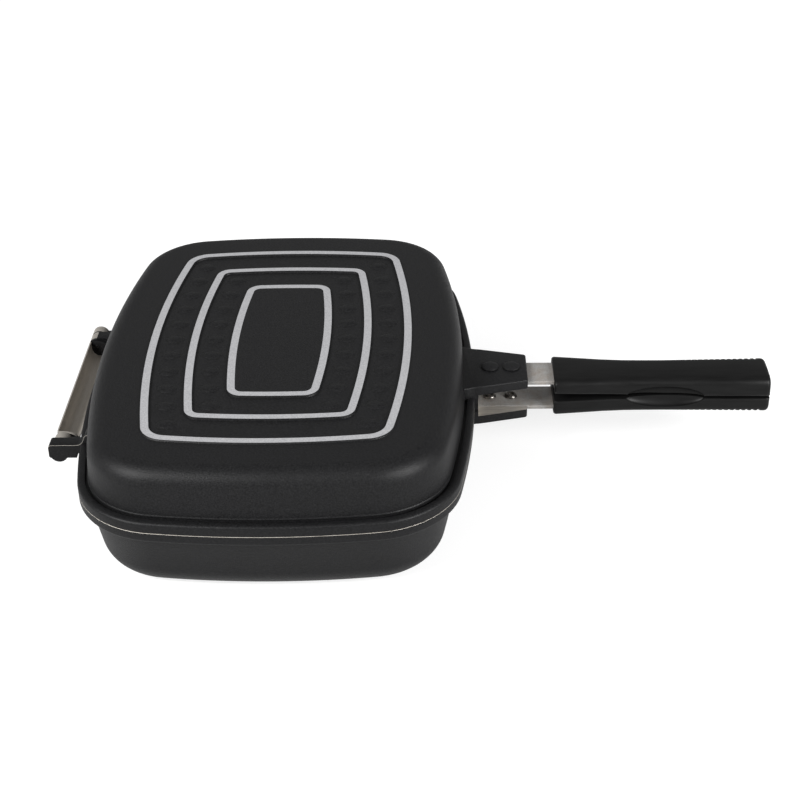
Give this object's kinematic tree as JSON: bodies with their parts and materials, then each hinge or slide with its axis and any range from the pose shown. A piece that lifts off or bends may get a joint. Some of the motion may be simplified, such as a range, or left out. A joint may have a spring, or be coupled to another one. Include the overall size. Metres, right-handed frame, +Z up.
{
  "type": "double sided flip pan",
  "caption": "Double sided flip pan: a deep and a shallow coated rectangular pan, hinged along one side and closed on a seal, with split strap handles and an oil tray at the hinge.",
  "frame": {"origin": "middle of the flat face that the closed pan stands on, under the deep pan", "axes": "+X along the handle, from the hinge to the grip; +Y across the pan, along the hinge axis; +Z up"},
  "size_m": [0.4369, 0.319, 0.0844],
  "materials": {
    "pan_coating": "charcoal black non-stick coating on die-cast aluminium, matt with a fine grain",
    "strap_steel": "plain steel with a dull satin surface",
    "grip_plastic": "black moulded phenolic, glossy",
    "coated_steel": "steel with the pan's charcoal coating",
    "magnet_nickel": "nickel plated magnet",
    "silicone": "dark silicone, matt",
    "stainless": "pressed stainless steel, smooth satin"
  },
  "bodies": {
    "base": {"lower_pan": "pan_coating", "lower_strap": "strap_steel", "lower_grip": "grip_plastic", "lower_rivet_inner": "coated_steel", "lower_grip_screw_inner": "strap_steel", "lower_rivet_outer": "coated_steel", "lower_grip_screw_outer": "strap_steel", "lower_magnet": "magnet_nickel", "seal": "silicone", "drip_tray": "stainless", "drip_tray_end_far": "stainless", "drip_tray_end_near": "stainless", "hinge_pin_far": "coated_steel", "hinge_pin_near": "coated_steel"},
    "lid": {"upper_pan": "pan_coating", "upper_strap": "strap_steel", "upper_grip": "grip_plastic", "upper_rivet_inner": "coated_steel", "upper_grip_screw_inner": "strap_steel", "upper_rivet_outer": "coated_steel", "upper_grip_screw_outer": "strap_steel", "upper_magnet": "magnet_nickel"}
  },
  "joints": [
    {"name": "lid_hinge", "type": "hinge", "parent": "base", "child": "lid", "pos_m": [-0.1287, 0, 0.047], "axis": [0, -1, 0], "range_deg": [0, 180]}
  ]
}
